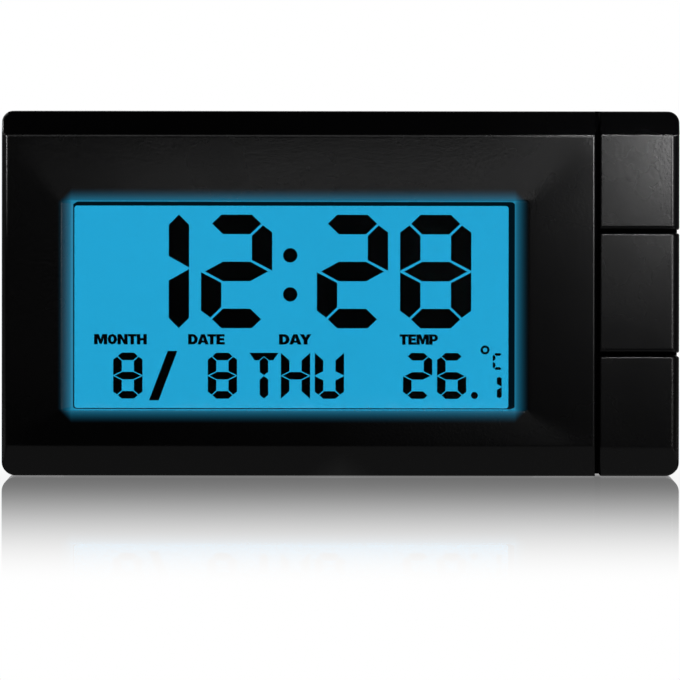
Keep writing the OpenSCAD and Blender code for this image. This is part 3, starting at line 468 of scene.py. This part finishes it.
# what the display and the inside are made of
looks = {
    # lens and light guide: clear as water, an edge that catches light, a faint polish mark
    "polishedClearAcrylic": {"colours": ("#f6fbfd", "#fbfdfe"), "patchMm": 20, "rough": (0.015, 0.025),
                             "grainMm": 2, "relief": 0.01,
                             "sockets": {"IOR": 1.49, "Transmission Weight": 1.0}},
    # front polariser: clear with a grey cast, slightly soft reflections
    "polariserFilm": {"colours": ("#eef2f2", "#f4f6f6"), "patchMm": 20, "rough": (0.03, 0.05),
                      "grainMm": 1.5, "relief": 0.01,
                      "sockets": {"IOR": 1.49, "Transmission Weight": 1.0}},
    # display glass: the sharpest reflections of all, a trace of green
    "floatGlass": {"colours": ("#f4faf8", "#fafdfc"), "patchMm": 25, "rough": (0.005, 0.012),
                   "grainMm": 4, "relief": 0.005, "sockets": {"IOR": 1.52, "Transmission Weight": 1.0}},
    # switched segments: ink black with no shine
    "darkLiquidCrystal": {"colours": ("#030405", "#050608"), "patchMm": 3, "rough": (0.45, 0.55),
                          "grainMm": 0.4, "relief": 0.05,
                          "sockets": {"IOR": 1.5, "Specular IOR Level": 0.2}},
    # rear polariser with the backlight on: an even clear blue that glows
    "blueLitPolariser": {"colours": ("#0c3a50", "#0e4058"), "patchMm": 14, "rough": (0.5, 0.6),
                         "grainMm": 0.5, "relief": 0.03,
                         "sockets": {"IOR": 1.49, "Emission Color": hexColour("#26a6d7"),
                                     "Emission Strength": 1.56}},
    # plungers and switch bodies: charcoal, half dull, faint flow marks
    "blackNylon": {"colours": ("#141416", "#1b1b1d"), "patchMm": 2, "rough": (0.4, 0.5), "grainMm": 0.2},
    # stamped frames, crystal can and board screws: bright grey with fine rolling lines along x
    "tinnedSteel": {"colours": ("#b9bbbd", "#c9cacb"), "patchMm": 1.5, "rough": (0.25, 0.38),
                    "grainMm": 0.3, "stretch": (0.1, 1, 1), "sockets": {"Metallic": 1.0}},
    # dust gasket: open-celled, black, soft pits, a painted blue glow for the light of the backlight
    "blackFoamPaintedGlow": {"colours": ("#060607", "#0b0b0c"), "patchMm": 0.8, "rough": (0.85, 0.95),
                  "grainMm": 0.25, "relief": 0.6,
                  "sockets": {"Emission Color": hexColour("#0c5f7d"), "Emission Strength": 0.05}},
    # diffuser and reflector: milky white, even and satin
    "whitePolyester": {"colours": ("#eceeee", "#f6f7f7"), "patchMm": 6, "rough": (0.45, 0.55),
                       "grainMm": 0.5},
    # backlight lamps: cream resin, waxy
    "creamResin": {"colours": ("#efe9c8", "#f4f0dc"), "patchMm": 1, "rough": (0.35, 0.45), "grainMm": 0.3},
    # display frame: white moulding, half dull, a cloudy flow of shades
    "whiteAbs": {"colours": ("#e4e5e3", "#eeeeec"), "patchMm": 8, "rough": (0.4, 0.5), "grainMm": 0.3},
    # connector strip: rubber in thin light and dark stripes across its length
    "zebraRubber": {"colours": ("#d9c8bd", "#2a2726"), "patchMm": 4, "rough": (0.6, 0.7), "grainMm": 2,
                    "stretch": (12, 0.2, 0.2)},
    # circuit board: green mask over a woven cloth, half gloss
    "greenGlassEpoxy": {"colours": ("#0f4a26", "#14582e"), "patchMm": 5, "rough": (0.3, 0.42),
                        "grainMm": 0.6, "stretch": (1, 1, 2)},
    # chip blob and sensor bead: black, glossy, slightly lumpy
    "blackEpoxy": {"colours": ("#08080a", "#0e0e10"), "patchMm": 3, "rough": (0.2, 0.35), "grainMm": 0.8},
    # small chip parts: tan, chalky
    "chipCeramic": {"colours": ("#6b5137", "#80654a"), "patchMm": 0.8, "rough": (0.45, 0.6), "grainMm": 0.1},
    # coin cell: bright steel with a fine brushed grain along x
    "nickelSteel": {"colours": ("#9fa1a2", "#dcdcda"), "patchMm": 1.2, "rough": (0.16, 0.4),
                    "grainMm": 0.25, "relief": 0.5, "stretch": (0.06, 1, 1), "sockets": {"Metallic": 1.0}},
    # contact springs: pale gold with rolling lines up the strip
    "springBrass": {"colours": ("#c9a85c", "#d8bd7a"), "patchMm": 2, "rough": (0.25, 0.35),
                    "grainMm": 0.3, "stretch": (1, 1, 0.1), "sockets": {"Metallic": 1.0}},
    # case screws: blued black, oily sheen
    "blackenedSteel": {"colours": ("#1c1d20", "#2a2b2e"), "patchMm": 1, "rough": (0.3, 0.42),
                       "grainMm": 0.15, "sockets": {"Metallic": 1.0}},
    # mounting pad: black foam tape, dead dull with fine pores
    "foamTape": {"colours": ("#0d0d0e", "#161617"), "patchMm": 0.9, "rough": (0.85, 0.95),
                 "grainMm": 0.3, "relief": 0.7},
}
finishes = {name: makeFinish(name, look) for name, look in looks.items()}
nodeFinish = {
    "polishedClearAcrylic": ("display_lens", "light_guide"),
    "polariserFilm": ("front_polariser",),
    "floatGlass": ("front_glass", "rear_glass"),
    "darkLiquidCrystal": ("lcd_segments",),
    "blueLitPolariser": ("rear_polariser",),
    "blackNylon": ("plunger_top", "plunger_middle", "plunger_bottom",
                   "switch_top", "switch_middle", "switch_bottom"),
    "tinnedSteel": ("switch_frames", "quartz_crystal", "board_screws"),
    "blackFoamPaintedGlow": ("dust_gasket",),
    "whitePolyester": ("diffuser_sheet", "reflector_sheet"),
    "creamResin": ("backlight_leds",),
    "whiteAbs": ("display_frame",),
    "zebraRubber": ("zebra_strip",),
    "greenGlassEpoxy": ("circuit_board",),
    "blackEpoxy": ("chip_blob", "temperature_sensor"),
    "chipCeramic": ("chip_parts",),
    "springBrass": ("positive_contact", "negative_contact"),
    "blackenedSteel": ("case_screws",),
    "foamTape": ("mounting_pad",),
}
for finishName, members in nodeFinish.items():
    for member in members:
        nodes[member].material_slots[0].material = finishes[finishName]
print("finishes set on the CAD nodes")

# the coin cell: a drawn steel can with a rolled rim and a plus stamped into its back
cellShape = {"round": 0.5, "segments": 6, "edgeAngle": 60, "plusArm": 2.4, "plusHalf": 0.45,
             "plusUp": 5.0, "plusDeep": 0.25}
cell = copyNode("coin_cell", "cell_can")
cellLow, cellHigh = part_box("coin_cell")
arm, half, deep = [cellShape[size] * mm for size in ("plusArm", "plusHalf", "plusDeep")]
plusX = (cellLow.x + cellHigh.x) / 2
plusZ = (cellLow.z + cellHigh.z) / 2 + cellShape["plusUp"] * mm


def onBack(face):
    return face.normal.y > flat and face.calc_center_median().y > cellHigh.y - tiny


def inPlus(face):
    middle = face.calc_center_median()
    nearer, further = sorted((abs(middle.x - plusX), abs(middle.z - plusZ)))
    return onBack(face) and nearer < half and further < arm


openEdit(cell)
pickOuterEdges(cell, cellShape["edgeAngle"], lambda mid, out: (
    out.y > lean and mid.y > cellHigh.y - close))
roundPicked(cellShape["round"] * mm, cellShape["segments"])
for axis, middle in ((0, plusX), (2, plusZ)):
    cutFaces(cell, onBack, axis, (middle - arm, middle - half, middle + half, middle + arm))
pick(cell, "FACE", inPlus)
bpy.ops.mesh.extrude_region_move(TRANSFORM_OT_translate={"value": (0, -deep, 0)})
closeEdit()
smoothPiece(cell)
settle(cell, "case", "cell_steel", finishes["nickelSteel"], "coin_cell")
print("coin cell made")

# the four small words over the lower row, in the liquid crystal layer; a letter is one cap height tall
wordShape = {"cap": 1.15, "base": 14.58, "gap": 0.02, "turns": 8,
             "kerns": {"DA": -0.05, "AT": -0.14, "AY": -0.16},
             "spans": {"MONTH": (-27.32, -21.47), "DATE": (-16.89, -12.83),
                       "DAY": (-6.81, -3.22), "TEMP": (6.57, 10.83)}}


def bow(x, y, wide, tall, start, stop):  # part of an oval, angles in degrees
    turns = wordShape["turns"]
    angles = [math.radians(start + (stop - start) * i / turns) for i in range(turns + 1)]
    return [(x + wide * math.cos(a), y + tall * math.sin(a)) for a in angles]


# heavy block capitals, stems thicker than bars
letters = {
    "M": [[(0, 0), (0, 1), (0.5, 1), (0.67, 0.5), (0.84, 1), (1.34, 1), (1.34, 0), (0.98, 0),
           (0.98, 0.58), (0.79, 0.04), (0.55, 0.04), (0.36, 0.58), (0.36, 0)]],
    "O": [bow(0.5, 0.5, 0.5, 0.52, 0, 350), bow(0.5, 0.5, 0.15, 0.26, 0, 350)],
    "N": [[(0, 0), (0, 1), (0.36, 1), (0.69, 0.47), (0.69, 1), (1.04, 1), (1.04, 0), (0.69, 0),
           (0.35, 0.53), (0.35, 0)]],
    "T": [[(0.27, 0), (0.27, 0.77), (0, 0.755), (0, 1), (0.9, 1), (0.9, 0.755), (0.63, 0.77), (0.63, 0)]],
    "H": [[(0, 0), (0, 1), (0.36, 1), (0.36, 0.62), (0.66, 0.62), (0.66, 1), (1.02, 1), (1.02, 0),
           (0.66, 0), (0.66, 0.38), (0.36, 0.38), (0.36, 0)]],
    "D": [[(0, 1), (0, 0)] + bow(0.46, 0.5, 0.52, 0.5, -90, 90),
          [(0.36, 0.75), (0.36, 0.25)] + bow(0.44, 0.5, 0.18, 0.25, -90, 90)],
    "A": [[(0, 0), (0.38, 1), (0.76, 1), (1.14, 0), (0.78, 0), (0.73, 0.17), (0.41, 0.17), (0.36, 0)],
          [(0.48, 0.38), (0.66, 0.38), (0.57, 0.68)]],
    "E": [[(0, 0), (0, 1), (0.82, 1), (0.82, 0.76), (0.36, 0.76), (0.36, 0.62), (0.78, 0.62),
           (0.78, 0.39), (0.36, 0.39), (0.36, 0.24), (0.84, 0.24), (0.84, 0)]],
    "Y": [[(0.35, 0), (0.35, 0.4), (0, 1), (0.38, 1), (0.53, 0.7), (0.68, 1), (1.06, 1), (0.71, 0.4),
           (0.71, 0)]],
    "P": [[(0.36, 0.32), (0.36, 0), (0, 0), (0, 1)] + bow(0.56, 0.66, 0.38, 0.34, 90, -90),
          [(0.36, 0.54), (0.36, 0.78)] + bow(0.5, 0.66, 0.1, 0.12, 90, -90)],
}
layerLow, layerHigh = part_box("lcd_segments")
words = []
for word, (left, right) in wordShape["spans"].items():
    drawing = bpy.data.curves.new(word, "CURVE")
    drawing.dimensions = "2D"
    drawing.fill_mode = "BOTH"
    drawing.extrude = 0.5  # each way, so one thick before it is scaled to the layer
    reach = 0
    for letter, after in zip(word, word[1:] + " "):
        widest = max(x for x, y in letters[letter][0])
        for outline in letters[letter]:
            line = drawing.splines.new("POLY")
            line.points.add(len(outline) - 1)
            for point, (x, y) in zip(line.points, outline):
                point.co = (reach + x, y, 0, 1)
            line.use_cyclic_u = True
        reach += widest + wordShape["kerns"].get(letter + after, wordShape["gap"])
    reach -= wordShape["gap"]
    label = bpy.data.objects.new(word, drawing)
    scene.collection.objects.link(label)
    bpy.ops.object.select_all(action="DESELECT")
    bpy.context.view_layer.objects.active = label
    label.select_set(True)
    bpy.ops.object.convert(target="MESH")
    label = bpy.context.object
    label.scale = ((right - left) * mm / reach, wordShape["cap"] * mm, layerHigh.y - layerLow.y)
    label.rotation_euler = (math.pi / 2, 0, 0)
    label.location = (left * mm, (layerLow.y + layerHigh.y) / 2, wordShape["base"] * mm)
    bpy.ops.object.transform_apply(location=True, rotation=True, scale=True)
    words.append(label)
bpy.ops.object.select_all(action="DESELECT")
for label in words:
    label.select_set(True)
bpy.context.view_layer.objects.active = words[0]
bpy.ops.object.join()
displayWords = words[0]
displayWords.name = "display_words"
displayWords.data.name = "display_words"
openEdit(displayWords)
bpy.ops.mesh.select_all(action="SELECT")
bpy.ops.mesh.remove_doubles(threshold=tiny)
bpy.ops.mesh.dissolve_limited(angle_limit=oneFlat)
bpy.ops.mesh.dissolve_degenerate(threshold=tiny)
bpy.ops.mesh.normals_make_consistent(inside=False)
closeEdit()
settle(displayWords, "case", "dark_liquid_crystal", finishes["darkLiquidCrystal"])
print("display words made")

# camera: a long lens just above the top edge, as in the photograph
cameraShape = {"distance": 1.2, "across": -0.044, "height": 41.08, "aim": 15.168, "viewWide": 75.2,
               "roll": 0.07, "clip": (0.05, 20)}
cameraData = bpy.data.cameras.new("longLens")
cameraData.lens = cameraData.sensor_width * cameraShape["distance"] / (cameraShape["viewWide"] * mm)
cameraData.clip_start, cameraData.clip_end = cameraShape["clip"]
camera = bpy.data.objects.new("camera", cameraData)
across = cameraShape["across"] * mm
camera.location = (across, yFront - cameraShape["distance"], cameraShape["height"] * mm)
aim = Vector((across, yFront, cameraShape["aim"] * mm)) - camera.location
tilt = Quaternion((0, 0, 1), math.radians(cameraShape["roll"]))
camera.rotation_euler = (aim.to_track_quat("-Z", "Y") @ tilt).to_euler()
scene.collection.objects.link(camera)
scene.camera = camera

# floor: white sheet, glossy at a low angle, its mirror image fading out to the front
floorShape = {"size": 6, "ior": 1.5, "mirror": 1.245, "mirrorReach": 0.272, "mirrorEnd": 0.05,
              "rear": 0.8, "wedge": 1.2, "wedgeEdge": (-0.02, 0.02), "side": 0.6,
              "sidePatch": (0.036, 0.05, 0.07, 0.12), "sideFrom": (-0.03, 0.0),
              "spillReach": 0.6, "spill": ((0.0, 0.13), (0.015, 0.13), (0.035, 0.002), (0.18, 0.002),
                                           (0.25, 0.3), (0.33, 0.36), (0.46, 0.002))}
bpy.ops.object.select_all(action="DESELECT")
bpy.ops.mesh.primitive_plane_add(size=floorShape["size"])
floor = bpy.context.object
floor.name = "floor"
paper = bpy.data.materials.new("whiteGlossSheet")
paper.use_nodes = True
tree = paper.node_tree
tree.nodes.clear()
coords = addNode(tree, "ShaderNodeTexCoord")
split = addNode(tree, "ShaderNodeSeparateXYZ", None, {0: coords.outputs["Object"]})
ahead = addNode(tree, "ShaderNodeMapRange", {"interpolation_type": "SMOOTHSTEP", "From Min": yFront,
                                             "From Max": yFront - floorShape["mirrorReach"],
                                             "To Min": floorShape["mirror"], "To Max": 0.0},
                {"Value": split.outputs["Y"]})
behind = addNode(tree, "ShaderNodeMapRange", {"From Min": yFront, "From Max": floorShape["mirrorEnd"],
                                              "To Min": 1.0, "To Max": 0.0},
                 {"Value": split.outputs["Y"]})
weight = addNode(tree, "ShaderNodeMath", {"operation": "MULTIPLY"},
                 {0: ahead.outputs[0], 1: behind.outputs[0]})
sheen = addNode(tree, "ShaderNodeFresnel", {"IOR": floorShape["ior"]})
lowAngle = addNode(tree, "ShaderNodeMath", {"operation": "POWER", 1: 2.0}, {0: sheen.outputs[0]})
share = addNode(tree, "ShaderNodeMath", {"operation": "MULTIPLY"},
                {0: weight.outputs[0], 1: lowAngle.outputs[0]})
aside = addNode(tree, "ShaderNodeMath", {"operation": "ABSOLUTE"}, {0: split.outputs["X"]})
eye = addNode(tree, "ShaderNodeLightPath")
# the eye sees plain white, the clock sees bands of light in front of it and a pale wedge behind
inFront = addNode(tree, "ShaderNodeMapRange", {"From Min": yFront,
                                               "From Max": yFront - floorShape["spillReach"]},
                  {"Value": split.outputs["Y"]})
spread = addNode(tree, "ShaderNodeValToRGB", None, {"Fac": inFront.outputs[0]})
for index, (where, bright) in enumerate(floorShape["spill"]):
    # a ramp starts out with two stops
    stop = spread.color_ramp.elements[index] if index < 2 else spread.color_ramp.elements.new(where)
    stop.position = where
    stop.color = (bright, bright, bright, 1)
wedge = addNode(tree, "ShaderNodeMath", {"operation": "MULTIPLY_ADD", 1: -floorShape["wedge"]},
                {0: aside.outputs[0], 2: split.outputs["Y"]})
rearward = addNode(tree, "ShaderNodeMapRange", {"From Min": floorShape["wedgeEdge"][0],
                                                "From Max": floorShape["wedgeEdge"][1],
                                                "To Max": floorShape["rear"]}, {"Value": wedge.outputs[0]})
# a patch of painted light on the sheet on each side of the clock, unseen by the camera, shows as a
# reflection in its end walls
start, full, fade, stop = floorShape["sidePatch"]
inner = addNode(tree, "ShaderNodeMapRange", {"From Min": start, "From Max": full},
                {"Value": aside.outputs[0]})
outer = addNode(tree, "ShaderNodeMapRange", {"From Min": fade, "From Max": stop,
                                             "To Min": floorShape["side"], "To Max": 0.0},
                {"Value": aside.outputs[0]})
strip = addNode(tree, "ShaderNodeMath", {"operation": "MULTIPLY"},
                {0: inner.outputs[0], 1: outer.outputs[0]})
abreast = addNode(tree, "ShaderNodeMapRange", {"From Min": floorShape["sideFrom"][0],
                                               "From Max": floorShape["sideFrom"][1]},
                  {"Value": split.outputs["Y"]})
patch = addNode(tree, "ShaderNodeMath", {"operation": "MULTIPLY"},
                {0: strip.outputs[0], 1: abreast.outputs[0]})
lateral = addNode(tree, "ShaderNodeMath", {"operation": "MAXIMUM"},
                  {0: patch.outputs[0], 1: rearward.outputs[0]})
both = addNode(tree, "ShaderNodeMath", {"operation": "MAXIMUM"},
               {0: spread.outputs["Color"], 1: lateral.outputs[0]})
level = addNode(tree, "ShaderNodeMath", {"operation": "MAXIMUM"},
                {0: both.outputs[0], 1: eye.outputs["Is Camera Ray"]})
white = addNode(tree, "ShaderNodeEmission", {"Color": (1, 1, 1, 1)}, {"Strength": level.outputs[0]})
mirror = addNode(tree, "ShaderNodeBsdfGlossy", {"Color": (1, 1, 1, 1), "Roughness": 0.0})
sheet = addNode(tree, "ShaderNodeMixShader", None,
                {0: share.outputs[0], 1: white.outputs[0], 2: mirror.outputs[0]})
addNode(tree, "ShaderNodeOutputMaterial", None, {"Surface": sheet.outputs[0]})
floor.data.materials.append(paper)

# world: white behind the clock, dim in front of it, white wherever the camera looks
worldShape = {"front": 0.005, "back": 0.9, "lift": 0.35, "turn": (0.75, 0.95)}
world = bpy.data.worlds.new("studio")
scene.world = world
world.use_nodes = True
tree = world.node_tree
tree.nodes.clear()
coords = addNode(tree, "ShaderNodeTexCoord")
split = addNode(tree, "ShaderNodeSeparateXYZ", None, {0: coords.outputs["Generated"]})
upBack = addNode(tree, "ShaderNodeMath", {"operation": "MULTIPLY_ADD", 1: worldShape["lift"]},
                 {0: split.outputs["Z"], 2: split.outputs["Y"]})
rear = addNode(tree, "ShaderNodeMapRange", {"From Min": worldShape["turn"][0],
                                            "From Max": worldShape["turn"][1],
                                            "To Min": worldShape["front"], "To Max": worldShape["back"]},
               {"Value": upBack.outputs[0]})
eye = addNode(tree, "ShaderNodeLightPath")
glowLevel = addNode(tree, "ShaderNodeMath", {"operation": "MAXIMUM"},
                    {0: rear.outputs[0], 1: eye.outputs["Is Camera Ray"]})
sky = addNode(tree, "ShaderNodeBackground", {"Color": (1, 1, 1, 1)}, {"Strength": glowLevel.outputs[0]})
addNode(tree, "ShaderNodeOutputWorld", None, {"Surface": sky.outputs[0]})

# lamps: a soft box close on the right, and small strips and spots for the lines along the edges
lamps = {"softBoxRight": {"at": (52, -70, 44.4), "to": (33, -9, 37), "size": (22, 22), "watts": 0.0061,
                          "spread": 85},
         "stripRight": {"at": (87, -96, 30), "to": (36, -9, 28), "size": (14, 40), "watts": 0.00155,
                        "spread": 70},
         "stripAbove": {"at": (8, -108, 96), "to": (8, -9, 37), "size": (110, 24), "watts": 0.0023,
                        "spread": 90},
         "stripLow": {"at": (20, -125, 10), "to": (20, -9, 37), "size": (90, 8), "watts": 0.000055,
                      "spread": 18},
         "spotKeys": {"at": (35, -90, 98), "to": (35, -9, 28), "size": (12, 10), "watts": 0.00042,
                      "spread": 22},
         "slitRight": {"at": (115, -46, 22), "to": (-30.2, -8.3, 19), "size": (12, 34), "watts": 0.000017,
                       "spread": 14},
         "spotLeft": {"at": (-65, -37, 40), "to": (-37, -9, 37), "size": (10, 10), "watts": 0.000185,
                      "spread": 30},
         "spotBehindLeft": {"at": (-60, 4, 50), "to": (-37, -8, 39), "size": (4, 4), "watts": 0.0000125,
                            "spread": 14}}
for name, lamp in lamps.items():
    lampData = bpy.data.lights.new(name, "AREA")
    lampData.shape = "RECTANGLE"
    lampData.size = lamp["size"][0] * mm
    lampData.size_y = lamp["size"][1] * mm
    lampData.energy = lamp["watts"]
    lampData.spread = math.radians(lamp["spread"])
    lampObject = bpy.data.objects.new(name, lampData)
    lampObject.location = Vector(lamp["at"]) * mm
    toward = Vector(lamp["to"]) * mm - lampObject.location
    lampObject.rotation_euler = toward.to_track_quat("-Z", "Y").to_euler()
    lampObject.visible_camera = False
    scene.collection.objects.link(lampObject)

scene.view_settings.view_transform = "Standard"
print("camera, floor and lamps set")
